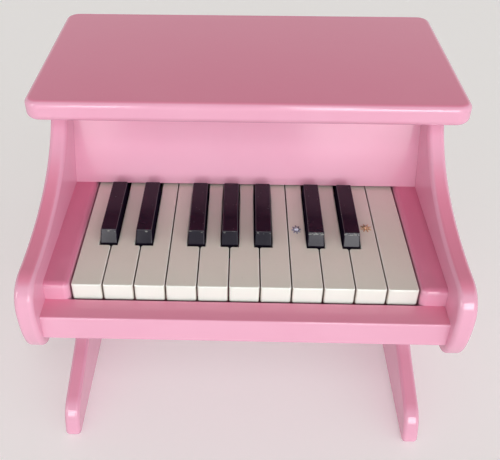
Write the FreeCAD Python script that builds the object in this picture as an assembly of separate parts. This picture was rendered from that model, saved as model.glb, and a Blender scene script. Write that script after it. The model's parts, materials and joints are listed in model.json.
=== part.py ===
import FreeCAD, Part
import math
import os

# Toy upright piano, in millimetres. X runs along the keyboard to the player's right, Y from the player
# to the back, Z up. The origin is on the floor under the middle of the whole object.
# A reach is a distance behind the front edge of the white keys, and a drop is a distance below their tops.

V = FreeCAD.Vector

# Keyboard layout: a black key stands after each of these white keys, counted from the left,
# and is set to the left or right of the line between them by a share of the pitch
WHITE_KEYS = 11
BLACK_AFTER = (1, 2, 4, 5, 6, 8, 9)
BLACK_OFFSET_SHARES = (-0.1, 0.1, -0.13, 0.0, 0.13, -0.1, 0.1)

# Cabinet
OVERALL_DEPTH = 289.0
KEY_TOP = 177.0
BOARD = 12.0
EDGE_RADIUS = 3.0
CABINET_RISE = 63.6
CABINET_REACH = 241.0
CHEEK_WIDTH = 16.45
CHEEK_GAP = 0.8
CHEEK_RISE = 1.9
CHEEK_EDGE_RADIUS = 4.0
CHEEK_NECK_GAP = 5.3

# Side panel outline, from the top front corner down the sweep to the nose and round the leg
SWEEP_TOP_REACH = 117.0
SWEEP_TOP_SHARES = (0.84, 0.31)
SWEEP_FOOT_SHARE = 0.48
ARM_RISE = 17.5
ARM_CREST_LEAD = 6.0
NOSE_LEAD = 27.0
NOSE_TIP_DROP = 4.0
NOSE_TOP_SHARE = 0.62
NOSE_DROP = 42.5
NOSE_HEEL_LEAD = 8.0
NOSE_FRONT_SHARE = 0.5
NOSE_HEEL_SHARE = 0.76
LEG_REACH = 128.5
LEG_POST_WIDTH = 48.0
LEG_TOP_RADIUS = 24.0
FOOT_LENGTH = 245.0
FOOT_SLOPE = 17.5
FOOT_FLARE_RADIUS = 55.0
TOE_HEIGHT = 25.5
TOE_RAKE = 8.0
TOE_TOP_RADIUS = 22.0
TOE_SOLE_RADIUS = 5.0
REAR_CORNER_RADIUS = 8.0

# Top board
TOP_THICKNESS = 15.0
TOP_SIDE_OVERHANG = 13.9
TOP_FRONT_REACH = 97.0
TOP_CORNER_RADIUS = 11.0
TOP_NOSING_RADIUS = 4.5

# Front panel, back panel, front rail and keybed
PANEL_REACH = 113.7
PANEL_LEAN = 20.9
PANEL_THICKNESS = 9.0
BACK_THICKNESS = 6.0
RAIL_DROP = 11.2
RAIL_DEPTH = 17.0
RAIL_GAP = 2.3
RAIL_EDGE_RADIUS = 1.2
KEYBED_THICKNESS = 9.0

# Keys
KEY_PITCH = 20.5
KEY_GAP = 0.8
KEY_THICKNESS = 12.5
KEY_TRAVEL = 2.8
WHITE_EDGE_RADIUS = 0.9
WHITE_CORNER_RADIUS = 1.5
NECK_REACH = 127.0
TAIL_LENGTH = 42.0
BLACK_WIDTH = 11.6
BLACK_TOP_WIDTH = 11.0
BLACK_RISE = 8.5
BLACK_REACH = 43.0
BLACK_LENGTH = 64.0
BLACK_FRONT_SLOPE = 4.3
BLACK_REAR_SLOPE = 1.5
BLACK_GAP = 0.5
BLACK_FRONT_GAP = 2.0
BLACK_EDGE_RADIUS = 0.7
LEVER_WIDTH = 5.9

# Key pivot and rests
PIVOT_SETBACK = 6.0
PIVOT_DROP = 6.5
ROD_RADIUS = 1.5
RUNNING_CLEARANCE = 0.05
REST_CLEARANCE = 0.3
BALANCE_RAIL_DEPTH = 12.0
BALANCE_RAIL_CLEARANCE = 2.0
POST_WIDTH = 6.0
POST_CAP = 3.0
END_POST_GAP = 3.0
FELT_THICKNESS = 2.0
FELT_DEPTH = 10.0
FELT_REACH = 7.0
RETURN_STRIP_DEPTH = 5.0
RETURN_STRIP_LEAD = 4.0
REST_RAIL_DEPTH = 10.0
REST_RAIL_TAIL_GAP = 1.5

# Hammers
HAMMER_PIVOT_LEAD = 4.5
HAMMER_PIVOT_RISE = 5.5
HAMMER_WIDTH = 6.0
HAMMER_HUB_RADIUS = 4.0
HAMMER_ARM_LENGTH = 7.4
HAMMER_ARM_HEIGHT = 4.0
HAMMER_NUB_WIDTH = 3.0
HAMMER_SHANK_DEPTH = 3.0
STRIKE_RISE = 34.0
HEAD_RADIUS = 3.5
HEAD_FRONT_LENGTH = 4.0
HAMMER_SWING = 15.68
STRIKE_GAP = 0.5
HAMMER_RAIL_DEPTH = 6.5
HAMMER_RAIL_GAP = 1.5
HAMMER_RAIL_HEIGHT = 6.0

# Tone rods, standing in a cast block
TONE_SETBACK = 18.0
TONE_RADIUS = 1.25
TONE_LONGEST = 66.0
TONE_SHORTEST = 44.0
TONE_SEAT_DEPTH = 10.0
TONE_BLOCK_DEPTH = 14.0
TONE_BLOCK_HEIGHT = 16.0
TONE_BLOCK_MARGIN = 16.0
SEAT_CLEARANCE = 0.03

# Fasteners
SCREW_RADIUS = 1.5
SCREW_HEAD_RADIUS = 3.2
SCREW_HEAD_HEIGHT = 2.2
SCREW_LENGTH = 15.0
BACK_SCREW_ROWS = 3
BACK_SCREW_MARGIN = 16.0
DOWEL_RADIUS = 3.0
DOWEL_LENGTH = 24.0
DOWEL_SHORT_END = 8.0
TOP_DOWEL_MARGIN = 22.0

# Every cut runs this far past the face that it opens
OVERRUN = 1.0

# Places that several pieces share
KEY_FRONT = NOSE_LEAD - OVERALL_DEPTH / 2
TOP_BACK = OVERALL_DEPTH / 2
INNER_HALF = WHITE_KEYS * KEY_PITCH / 2 + CHEEK_GAP + CHEEK_WIDTH
OUTER_HALF = INNER_HALF + BOARD
CABINET_TOP = KEY_TOP + CABINET_RISE
CABINET_BACK = KEY_FRONT + CABINET_REACH
KEY_BOTTOM = KEY_TOP - KEY_THICKNESS
PIVOT_Y = KEY_FRONT + NECK_REACH + PIVOT_SETBACK
PIVOT_Z = KEY_TOP - PIVOT_DROP
TAIL_Y = PIVOT_Y + TAIL_LENGTH
FELT_FRONT = KEY_FRONT + FELT_REACH - FELT_DEPTH / 2
KEY_DIP = (PIVOT_Y - FELT_FRONT) * math.sin(math.radians(KEY_TRAVEL))
KEYBED_TOP = KEY_BOTTOM - KEY_DIP - REST_CLEARANCE - FELT_THICKNESS
KEYBED_BOTTOM = KEYBED_TOP - KEYBED_THICKNESS
RAIL_BACK = KEY_FRONT - RAIL_GAP
RAIL_TOP = KEY_TOP - RAIL_DROP
HAMMER_Y = TAIL_Y + HAMMER_PIVOT_LEAD
HAMMER_Z = KEY_TOP + HAMMER_PIVOT_RISE
HAMMER_RAIL_FRONT = TAIL_Y + HAMMER_RAIL_GAP + HAMMER_PIVOT_LEAD
TONE_Y = HAMMER_Y + TONE_SETBACK


def centred(middle, width):
    """Pair of coordinates a width apart about a middle."""
    return (middle - width / 2, middle + width / 2)


def white_x(number):
    """Middle of a white key, counted from 1 at the left."""
    return (number - (WHITE_KEYS + 1) / 2) * KEY_PITCH


def boundary_x(number):
    """Line between a white key and the next one to its right."""
    return white_x(number) + KEY_PITCH / 2


def black_x(number):
    """Middle of the black key after a white key."""
    return boundary_x(number) + BLACK_OFFSET_SHARES[BLACK_AFTER.index(number)] * KEY_PITCH


def lever_edges(number):
    """Left and right edges of a white key's lever, which runs between the black keys beside it."""
    clear = BLACK_WIDTH / 2 + BLACK_GAP
    left = black_x(number - 1) + clear if number - 1 in BLACK_AFTER else None
    right = black_x(number) - clear if number in BLACK_AFTER else None
    if left is None and right is None:
        return centred(white_x(number), LEVER_WIDTH)
    if left is None:
        left = right - LEVER_WIDTH
    if right is None:
        right = left + LEVER_WIDTH
    return (left, right)


def lane_places():
    """Middles of all the key levers from left to right, white and black together."""
    whites = [sum(lever_edges(number)) / 2 for number in range(1, WHITE_KEYS + 1)]
    blacks = [black_x(number) for number in BLACK_AFTER]
    return sorted(whites + blacks)


def open_boundaries():
    """Lines between two white keys that have no black key between them."""
    return [boundary_x(number) for number in range(1, WHITE_KEYS) if number not in BLACK_AFTER]


LANES = lane_places()
END_POST_X = INNER_HALF - END_POST_GAP - POST_WIDTH / 2
POST_PLACES = [-END_POST_X] + open_boundaries() + [END_POST_X]


def block(x_range, y_range, z_range):
    """Box between pairs of coordinates."""
    corner = V(x_range[0], y_range[0], z_range[0])
    size = [pair[1] - pair[0] for pair in (x_range, y_range, z_range)]
    return Part.makeBox(size[0], size[1], size[2], corner)


def rod(radius, start, end):
    """Cylinder from one point to another."""
    axis = end - start
    return Part.makeCylinder(radius, axis.Length, start, axis)


def line(start, end):
    return Part.LineSegment(start, end).toShape()


def bezier(*poles):
    curve = Part.BezierCurve()
    curve.setPoles(list(poles))
    return curve.toShape()


def rounded_run(points, radii):
    """Straight runs through points, with a tangent arc of the given radius at each inner point."""
    edges = []
    start = points[0]
    for before, corner, after, radius in zip(points, points[1:], points[2:], radii):
        if radius == 0:
            edges.append(line(start, corner))
            start = corner
            continue
        to_before = (before - corner).normalize()
        to_after = (after - corner).normalize()
        half_angle = to_before.getAngle(to_after) / 2
        inward = (to_before + to_after).normalize()
        first = corner + to_before * (radius / math.tan(half_angle))
        last = corner + to_after * (radius / math.tan(half_angle))
        middle = corner + inward * (radius / math.sin(half_angle) - radius)
        edges.append(line(start, first))
        edges.append(Part.Arc(first, middle, last).toShape())
        start = last
    edges.append(line(start, points[-1]))
    return edges


def solid_from(edges, sweep):
    """Solid swept straight from a closed flat outline."""
    return Part.Face(Part.Wire(edges)).extrude(sweep)


def flat_edges(shape, axis, value):
    """Edges that lie whole in a plane square to an axis: 0 for X, 1 for Y, 2 for Z."""
    tolerance = EDGE_RADIUS / 1000
    return [edge for edge in shape.Edges
            if abs(edge.BoundBox.Center[axis] - value) < tolerance
            and (edge.BoundBox.XLength, edge.BoundBox.YLength, edge.BoundBox.ZLength)[axis] < tolerance]


def without(edges, others):
    return [edge for edge in edges if not any(edge.isSame(other) for other in others)]


def shared(edges, others):
    return [edge for edge in edges if any(edge.isSame(other) for other in others)]


def one_piece(shapes):
    """Fuses shapes that touch and merges the faces that run on."""
    return shapes[0].multiFuse(shapes[1:]).removeSplitter()


def sweep_edges():
    """Front edge: the sweep down from the top, the crest of the arm and the round nose."""
    top = V(0, KEY_FRONT + SWEEP_TOP_REACH, CABINET_TOP)
    crest = V(0, KEY_FRONT - ARM_CREST_LEAD, KEY_TOP + ARM_RISE)
    tip = V(0, KEY_FRONT - NOSE_LEAD, KEY_TOP - NOSE_TIP_DROP)
    heel = V(0, KEY_FRONT - NOSE_HEEL_LEAD, KEY_TOP - NOSE_DROP)
    span = top - crest
    upper = crest + V(0, span.y * SWEEP_TOP_SHARES[0], span.z * SWEEP_TOP_SHARES[1])
    lower = crest + V(0, span.y * SWEEP_FOOT_SHARE, 0)
    over = V(0, crest.y + (tip.y - crest.y) * NOSE_TOP_SHARE, crest.z)
    before = V(0, tip.y, tip.z + (crest.z - tip.z) * NOSE_TOP_SHARE)
    below = V(0, tip.y, tip.z + (heel.z - tip.z) * NOSE_FRONT_SHARE)
    under = V(0, heel.y + (tip.y - heel.y) * NOSE_HEEL_SHARE, heel.z)
    return [bezier(top, upper, lower, crest), bezier(crest, over, before, tip),
            bezier(tip, below, under, heel)]


def foot_half(direction):
    """Half of the leg outline from the underside of the arm to the sole."""
    middle = KEY_FRONT + LEG_REACH
    post = middle + direction * LEG_POST_WIDTH / 2
    toe = middle + direction * FOOT_LENGTH / 2
    toe_top = toe - direction * TOE_RAKE
    slope_rise = abs(toe_top - post) * math.tan(math.radians(FOOT_SLOPE))
    points = [(post, KEY_TOP - NOSE_DROP), (post, TOE_HEIGHT + slope_rise), (toe_top, TOE_HEIGHT),
              (toe, 0)]
    radii = [LEG_TOP_RADIUS, FOOT_FLARE_RADIUS, TOE_TOP_RADIUS, TOE_SOLE_RADIUS]
    return points, radii


def side_panel(inner_x, outward):
    """Side board with its arm, nose and leg sawn in one outline, drilled for the dowels."""
    front_points, front_radii = foot_half(-1)
    rear_points, rear_radii = foot_half(1)
    heel = (KEY_FRONT - NOSE_HEEL_LEAD, KEY_TOP - NOSE_DROP)
    back_foot = (CABINET_BACK, KEY_TOP - NOSE_DROP)
    back_top = (CABINET_BACK, CABINET_TOP)
    pairs = [heel] + front_points + rear_points[::-1] + [back_foot, back_top]
    radii = front_radii + rear_radii[::-1] + [REAR_CORNER_RADIUS]
    points = [V(0, y, z) for y, z in pairs]
    edges = sweep_edges() + rounded_run(points, radii)
    edges.append(line(points[-1], V(0, KEY_FRONT + SWEEP_TOP_REACH, CABINET_TOP)))
    panel = solid_from(edges, V(BOARD, 0, 0))
    rims = flat_edges(panel, 0, 0) + flat_edges(panel, 0, BOARD)
    square = flat_edges(panel, 2, CABINET_TOP) + flat_edges(panel, 1, CABINET_BACK)
    panel = panel.makeFillet(EDGE_RADIUS, without(rims, square))
    panel.translate(V(min(inner_x, inner_x + outward * BOARD), 0, 0))
    cavities = [dowel(spot, SEAT_CLEARANCE) for spot in top_dowel_spots() + rail_dowel_spots()]
    cavities += [screw(*spot, SEAT_CLEARANCE) for spot in back_screw_spots()]
    return panel.cut(cavities)


def top_board():
    """Top with a rounded nosing all round, drilled from below for the dowels."""
    half = OUTER_HALF + TOP_SIDE_OVERHANG
    front = KEY_FRONT + TOP_FRONT_REACH
    corners = [(0, front), (half, front), (half, TOP_BACK), (-half, TOP_BACK), (-half, front), (0, front)]
    points = [V(x, y, CABINET_TOP) for x, y in corners]
    board = solid_from(rounded_run(points, [TOP_CORNER_RADIUS] * 4), V(0, 0, TOP_THICKNESS))
    rims = flat_edges(board, 2, CABINET_TOP) + flat_edges(board, 2, CABINET_TOP + TOP_THICKNESS)
    board = board.makeFillet(TOP_NOSING_RADIUS, rims)
    return board.cut([dowel(spot, SEAT_CLEARANCE) for spot in top_dowel_spots()])


def panel_y(z):
    """Front face of the leaning front panel at a height."""
    foot = KEY_TOP + CHEEK_RISE
    return KEY_FRONT + PANEL_REACH + (z - foot) * math.tan(math.radians(PANEL_LEAN))


def front_panel():
    """Leaning board between the keys and the top, cut level at both edges."""
    foot = KEY_TOP + CHEEK_RISE
    level_depth = PANEL_THICKNESS / math.cos(math.radians(PANEL_LEAN))
    pairs = [(panel_y(foot), foot), (panel_y(foot) + level_depth, foot),
             (panel_y(CABINET_TOP) + level_depth, CABINET_TOP), (panel_y(CABINET_TOP), CABINET_TOP)]
    points = [V(-INNER_HALF, y, z) for y, z in pairs]
    return solid_from(Part.makePolygon(points + points[:1]).Edges, V(2 * INNER_HALF, 0, 0))


def front_rail():
    """Rail across the front, below the key fronts, drilled at its ends."""
    front = RAIL_BACK - RAIL_DEPTH
    rail = block((-INNER_HALF, INNER_HALF), (front, RAIL_BACK), (KEYBED_BOTTOM, RAIL_TOP))
    rims = [edge for edge in flat_edges(rail, 1, front) if edge.BoundBox.XLength > INNER_HALF]
    rail = rail.makeFillet(RAIL_EDGE_RADIUS, rims)
    return rail.cut([dowel(spot, SEAT_CLEARANCE) for spot in rail_dowel_spots()])


def key_cheek(side):
    """Block between the end key and the side panel, rounded over in front and along the keys."""
    outer = side * INNER_HALF
    inner = side * (INNER_HALF - CHEEK_WIDTH)
    back = KEY_FRONT + NECK_REACH - CHEEK_NECK_GAP
    top = KEY_TOP + CHEEK_RISE
    cheek = block(sorted((outer, inner)), (RAIL_BACK, back), (KEYBED_TOP, top))
    upper = flat_edges(cheek, 2, top)
    beside = flat_edges(cheek, 0, inner)
    ahead = flat_edges(cheek, 1, RAIL_BACK)
    return cheek.makeFillet(CHEEK_EDGE_RADIUS, shared(upper, beside + ahead) + shared(beside, ahead))


def keybed():
    """Bottom board that carries the rails, bored and countersunk for their screws from below."""
    bed = block((-INNER_HALF, INNER_HALF), (RAIL_BACK, CABINET_BACK), (KEYBED_BOTTOM, KEYBED_TOP))
    spots = rail_screw_spots() + tone_screw_spots()
    return bed.cut([screw(*spot, SEAT_CLEARANCE) for spot in spots])


def back_panel():
    """Thin back board over the rear edges of the side panels, bored for its screws."""
    board = block((-OUTER_HALF, OUTER_HALF), (CABINET_BACK, CABINET_BACK + BACK_THICKNESS),
                  (KEYBED_BOTTOM, CABINET_TOP))
    return board.cut([screw(*spot, SEAT_CLEARANCE) for spot in back_screw_spots()])


def white_side(number, side, lever_edge):
    """Outline of one side of a white key from its front corner to its tail, with its corner radii."""
    neighbour = number if side > 0 else number - 1
    edge = white_x(number) + side * (KEY_PITCH - KEY_GAP) / 2
    shoulder = KEY_FRONT + (BLACK_REACH - BLACK_FRONT_GAP if neighbour in BLACK_AFTER else NECK_REACH)
    pairs = [(edge, KEY_FRONT), (edge, shoulder), (lever_edge, shoulder), (lever_edge, TAIL_Y)]
    return pairs, [WHITE_CORNER_RADIUS, WHITE_CORNER_RADIUS, 0, 0]


def white_key(number):
    """White key: a wide head, notched beside each black key, and a lever that runs back to its tail."""
    left_edge, right_edge = lever_edges(number)
    right, right_radii = white_side(number, 1, right_edge)
    left, left_radii = white_side(number, -1, left_edge)
    front = [(white_x(number), KEY_FRONT)]
    points = [V(x, y, KEY_BOTTOM) for x, y in front + right + left[::-1] + front]
    key = solid_from(rounded_run(points, right_radii + left_radii[::-1]), V(0, 0, KEY_THICKNESS))
    key = key.makeFillet(WHITE_EDGE_RADIUS, flat_edges(key, 2, KEY_TOP))
    return key.cut(cross_bore((left_edge, right_edge), PIVOT_Y, PIVOT_Z))


def black_key(number):
    """Black key: a tapered cap with a sloping front, on a body and a lever like the white key's."""
    middle = black_x(number)
    front = KEY_FRONT + BLACK_REACH
    back = front + BLACK_LENGTH
    base = rectangle(centred(middle, BLACK_WIDTH), (front, back), KEY_TOP)
    crown = rectangle(centred(middle, BLACK_TOP_WIDTH), (front + BLACK_FRONT_SLOPE, back - BLACK_REAR_SLOPE),
                      KEY_TOP + BLACK_RISE)
    cap = Part.makeLoft([base, crown], True, True)
    cap = cap.makeFillet(BLACK_EDGE_RADIUS, without(cap.Edges, flat_edges(cap, 2, KEY_TOP)))
    body = block(centred(middle, BLACK_WIDTH), (front, back), (KEY_BOTTOM, KEY_TOP))
    lever_range = centred(middle, LEVER_WIDTH)
    lever = block(lever_range, (back, TAIL_Y), (KEY_BOTTOM, KEY_TOP))
    return one_piece([body, cap, lever]).cut(cross_bore(lever_range, PIVOT_Y, PIVOT_Z))


def rectangle(x_range, y_range, z):
    corners = [V(x_range[0], y_range[0], z), V(x_range[1], y_range[0], z),
               V(x_range[1], y_range[1], z), V(x_range[0], y_range[1], z)]
    return Part.makePolygon(corners + corners[:1])


def cross_bore(x_range, y, z):
    """Running bore along X through a lever or a hammer, for the rod that it rocks on."""
    start = V(x_range[0] - OVERRUN, y, z)
    return rod(ROD_RADIUS + RUNNING_CLEARANCE, start, V(x_range[1] + OVERRUN, y, z))


def posts(y, z, foot):
    """Row of posts that carry a pivot rod, in the gaps between levers and at both ends."""
    depth = 2 * (ROD_RADIUS + POST_CAP)
    top = z + ROD_RADIUS + POST_CAP
    return [block(centred(x, POST_WIDTH), centred(y, depth), (foot, top)) for x in POST_PLACES]


def cross_rod(y, z, radius):
    """Rod along the keyboard through all the posts."""
    reach = END_POST_X + POST_WIDTH / 2
    return rod(radius, V(-reach, y, z), V(reach, y, z))


def post_bore(y, z):
    """Bore for a pivot rod through a row of posts."""
    reach = END_POST_X + POST_WIDTH
    return rod(ROD_RADIUS + SEAT_CLEARANCE, V(-reach, y, z), V(reach, y, z))


def key_balance_rail():
    """Rail under the middle of the levers, with the posts that hold the key pivot rod."""
    top = KEY_BOTTOM - BALANCE_RAIL_CLEARANCE
    half = END_POST_X + POST_WIDTH / 2
    rail = block((-half, half), centred(PIVOT_Y, BALANCE_RAIL_DEPTH), (KEYBED_TOP, top))
    whole = one_piece([rail] + posts(PIVOT_Y, PIVOT_Z, top))
    cavities = [screw(*spot, SEAT_CLEARANCE) for spot in rail_screw_spots()]
    return whole.cut(cavities + [post_bore(PIVOT_Y, PIVOT_Z)])


def strip(y_middle, depth, z_range):
    """Straight strip under all the keys."""
    reach = WHITE_KEYS * KEY_PITCH / 2
    return block((-reach, reach), centred(y_middle, depth), z_range)


def key_front_felt():
    return strip(KEY_FRONT + FELT_REACH, FELT_DEPTH, (KEYBED_TOP, KEYBED_TOP + FELT_THICKNESS))


def key_return_strip():
    """Springy foam strip that pushes the levers back up, just in front of the balance rail."""
    middle = PIVOT_Y - BALANCE_RAIL_DEPTH / 2 - RETURN_STRIP_LEAD - RETURN_STRIP_DEPTH / 2
    return strip(middle, RETURN_STRIP_DEPTH, (KEYBED_TOP, KEY_BOTTOM))


def rest_rail_y():
    return TAIL_Y - REST_RAIL_TAIL_GAP - REST_RAIL_DEPTH / 2


def tail_rest_top():
    return KEY_BOTTOM - REST_CLEARANCE


def tail_rest_rail():
    """Rail under the tails of the levers, screwed from below."""
    rail = strip(rest_rail_y(), REST_RAIL_DEPTH, (KEYBED_TOP, tail_rest_top() - FELT_THICKNESS))
    return rail.cut([screw(*spot, SEAT_CLEARANCE) for spot in rail_screw_spots()])


def tail_rest_felt():
    return strip(rest_rail_y(), REST_RAIL_DEPTH, (tail_rest_top() - FELT_THICKNESS, tail_rest_top()))


def hammer_rail():
    """Rail behind the tails, with the posts that hold the hammer pivot rod."""
    half = END_POST_X + POST_WIDTH / 2
    back = HAMMER_RAIL_FRONT + HAMMER_RAIL_DEPTH
    rail = block((-half, half), (HAMMER_RAIL_FRONT, back), (KEYBED_TOP, KEYBED_TOP + HAMMER_RAIL_HEIGHT))
    front = HAMMER_Y - ROD_RADIUS - POST_CAP
    top = HAMMER_Z + ROD_RADIUS + POST_CAP
    uprights = [block(centred(x, POST_WIDTH), (front, back), (KEYBED_TOP + HAMMER_RAIL_HEIGHT, top))
                for x in POST_PLACES]
    cavities = [screw(*spot, SEAT_CLEARANCE) for spot in rail_screw_spots()]
    return one_piece([rail] + uprights).cut(cavities + [post_bore(HAMMER_Y, HAMMER_Z)])


def head_rear_length():
    """Head length behind the pivot that leaves the strike gap to the tone rod at full swing."""
    swing = math.radians(HAMMER_SWING)
    reach = TONE_Y - TONE_RADIUS - STRIKE_GAP - HAMMER_Y
    top_edge = STRIKE_RISE - HAMMER_PIVOT_RISE + HEAD_RADIUS
    return (reach - top_edge * math.sin(swing)) / math.cos(swing)


def hammer(x):
    """Rocking hammer: an arm with a nub over the key tail, a hub on the rod, a shank and a round head."""
    width = centred(x, HAMMER_WIDTH)
    strike = KEY_TOP + STRIKE_RISE
    nub_y = HAMMER_Y - HAMMER_ARM_LENGTH
    start = V(width[0], HAMMER_Y, HAMMER_Z)
    hub = rod(HAMMER_HUB_RADIUS, start, start + V(HAMMER_WIDTH, 0, 0))
    arm = block(width, (nub_y - HAMMER_NUB_WIDTH / 2, HAMMER_Y), centred(HAMMER_Z, HAMMER_ARM_HEIGHT))
    nub = block(width, centred(nub_y, HAMMER_NUB_WIDTH), (KEY_TOP + REST_CLEARANCE, HAMMER_Z))
    shank = block(width, centred(HAMMER_Y, HAMMER_SHANK_DEPTH), (HAMMER_Z, strike))
    head_front = HAMMER_Y - HEAD_FRONT_LENGTH
    head_rear = HAMMER_Y + head_rear_length()
    head = rod(HEAD_RADIUS, V(x, head_front, strike), V(x, head_rear, strike))
    return one_piece([hub, arm, nub, shank, head]).cut(cross_bore(width, HAMMER_Y, HAMMER_Z))


def tone_length(index):
    """Free length of a tone rod: the lengths fall evenly from the lowest note to the highest."""
    return TONE_LONGEST + (TONE_SHORTEST - TONE_LONGEST) * index / (len(LANES) - 1)


def tone_rods(clearance=0):
    """One rod behind each hammer, seated in the block; a clearance makes the seats instead."""
    top = KEYBED_TOP + TONE_BLOCK_HEIGHT
    feet = [V(x, TONE_Y, top - TONE_SEAT_DEPTH) for x in LANES]
    tips = [V(x, TONE_Y, top + tone_length(index)) for index, x in enumerate(LANES)]
    return [rod(TONE_RADIUS + clearance, foot, tip) for foot, tip in zip(feet, tips)]


def tone_block():
    """Heavy cast block under the tone rods, screwed down at both ends."""
    half = LANES[-1] + TONE_BLOCK_MARGIN
    top = KEYBED_TOP + TONE_BLOCK_HEIGHT
    cast = block((-half, half), centred(TONE_Y, TONE_BLOCK_DEPTH), (KEYBED_TOP, top))
    return cast.cut(tone_rods(SEAT_CLEARANCE) + [screw(*spot, SEAT_CLEARANCE) for spot in tone_screw_spots()])


def screw(head, direction, length, clearance=0):
    """Countersunk screw with its head flush at a point; a clearance makes its hole instead."""
    rim = SCREW_HEAD_RADIUS + clearance
    shank = SCREW_RADIUS + clearance
    cone = Part.makeCone(rim, shank, SCREW_HEAD_HEIGHT, head, direction)
    return cone.fuse(rod(shank, head, head + direction * (length + clearance))).removeSplitter()


def rail_screw_spots():
    """Screws up through the keybed into the three rails, in line with their posts."""
    hammer_y = HAMMER_RAIL_FRONT + HAMMER_RAIL_DEPTH / 2
    up = V(0, 0, 1)
    length = KEYBED_THICKNESS + HAMMER_RAIL_HEIGHT - FELT_THICKNESS
    return [(V(x, y, KEYBED_BOTTOM), up, length)
            for y in (PIVOT_Y, rest_rail_y(), hammer_y) for x in open_boundaries()]


def tone_screw_spots():
    """Screws down through the ends of the tone block into the keybed."""
    top = KEYBED_TOP + TONE_BLOCK_HEIGHT
    x = LANES[-1] + TONE_BLOCK_MARGIN / 2
    length = TONE_BLOCK_HEIGHT + KEYBED_THICKNESS - FELT_THICKNESS
    return [(V(side * x, TONE_Y, top), V(0, 0, -1), length) for side in (-1, 1)]


def back_screw_spots():
    """Screws through the back panel into the rear edges of the side panels."""
    x = INNER_HALF + BOARD / 2
    low = KEYBED_BOTTOM + BACK_SCREW_MARGIN
    step = (CABINET_TOP - BACK_SCREW_MARGIN - low) / (BACK_SCREW_ROWS - 1)
    back = CABINET_BACK + BACK_THICKNESS
    return [(V(side * x, back, low + step * row), V(0, -1, 0), SCREW_LENGTH)
            for side in (-1, 1) for row in range(BACK_SCREW_ROWS)]


def dowel(spot, clearance=0):
    """Wooden dowel between two points; a clearance makes its hole instead."""
    start, end = spot
    along = (end - start).normalize() * clearance
    return rod(DOWEL_RADIUS + clearance, start - along, end + along)


def top_dowel_spots():
    """Dowels between the top edges of the side panels and the top board."""
    x = INNER_HALF + BOARD / 2
    front = KEY_FRONT + SWEEP_TOP_REACH + TOP_DOWEL_MARGIN
    low = CABINET_TOP + DOWEL_SHORT_END - DOWEL_LENGTH
    return [(V(side * x, y, low), V(side * x, y, low + DOWEL_LENGTH))
            for side in (-1, 1) for y in (front, CABINET_BACK - TOP_DOWEL_MARGIN)]


def rail_dowel_spots():
    """Dowels between the ends of the front rail and the side panels."""
    y = RAIL_BACK - RAIL_DEPTH / 2
    z = (RAIL_TOP + KEYBED_BOTTOM) / 2
    outer = INNER_HALF + DOWEL_SHORT_END
    return [(V(side * (outer - DOWEL_LENGTH), y, z), V(side * outer, y, z)) for side in (-1, 1)]


def group(solids):
    """Separate solids that share one node."""
    return Part.makeCompound(solids)


def all_pieces():
    """Every piece of the piano by its node name."""
    pieces = {
        "top_board": top_board(),
        "left_side_panel": side_panel(-INNER_HALF, -1),
        "right_side_panel": side_panel(INNER_HALF, 1),
        "front_panel": front_panel(),
        "front_rail": front_rail(),
        "left_key_cheek": key_cheek(-1),
        "right_key_cheek": key_cheek(1),
        "keybed": keybed(),
        "back_panel": back_panel(),
        "key_balance_rail": key_balance_rail(),
        "key_pivot_rod": cross_rod(PIVOT_Y, PIVOT_Z, ROD_RADIUS),
        "key_front_felt": key_front_felt(),
        "key_return_strip": key_return_strip(),
        "tail_rest_rail": tail_rest_rail(),
        "tail_rest_felt": tail_rest_felt(),
        "hammer_rail": hammer_rail(),
        "hammer_pivot_rod": cross_rod(HAMMER_Y, HAMMER_Z, ROD_RADIUS),
        "tone_block": tone_block(),
        "tone_rods": group(tone_rods()),
        "tone_block_screws": group([screw(*spot) for spot in tone_screw_spots()]),
        "rail_screws": group([screw(*spot) for spot in rail_screw_spots()]),
        "back_panel_screws": group([screw(*spot) for spot in back_screw_spots()]),
        "top_board_dowels": group([dowel(spot) for spot in top_dowel_spots()]),
        "front_rail_dowels": group([dowel(spot) for spot in rail_dowel_spots()]),
    }
    for number in range(1, WHITE_KEYS + 1):
        pieces[f"white_key_{number:02d}"] = white_key(number)
    for index, number in enumerate(BLACK_AFTER, start=1):
        pieces[f"black_key_{index:02d}"] = black_key(number)
    for index, x in enumerate(LANES, start=1):
        pieces[f"hammer_{index:02d}"] = hammer(x)
    return pieces


os.makedirs("parts", exist_ok=True)
for name, shape in all_pieces().items():
    shape.exportStep(f"parts/{name}.step")
    box = shape.BoundBox
    print(f"{name}: {len(shape.Solids)} solids, valid {shape.isValid()}, {shape.Volume:.0f} mm3, "
          f"x {box.XMin:.2f} {box.XMax:.2f}, y {box.YMin:.2f} {box.YMax:.2f}, "
          f"z {box.ZMin:.2f} {box.ZMax:.2f}")
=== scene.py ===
# %% [markdown]
# # A pink toy piano, dressed for its portrait
# The wooden parts of this piano come from a CAD model, already in place and in metres.
# This lesson adds what CAD leaves out: a camera, light, painted and worn surfaces, and the
# few pieces that are soft or too small for CAD. Every new shape is a formula on a numpy grid,
# and every finish is a set of shader nodes, so nothing is loaded except the model itself.

# %% Load the model
import json
import math

import bpy
import numpy as np
from mathutils import Matrix, Vector


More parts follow.
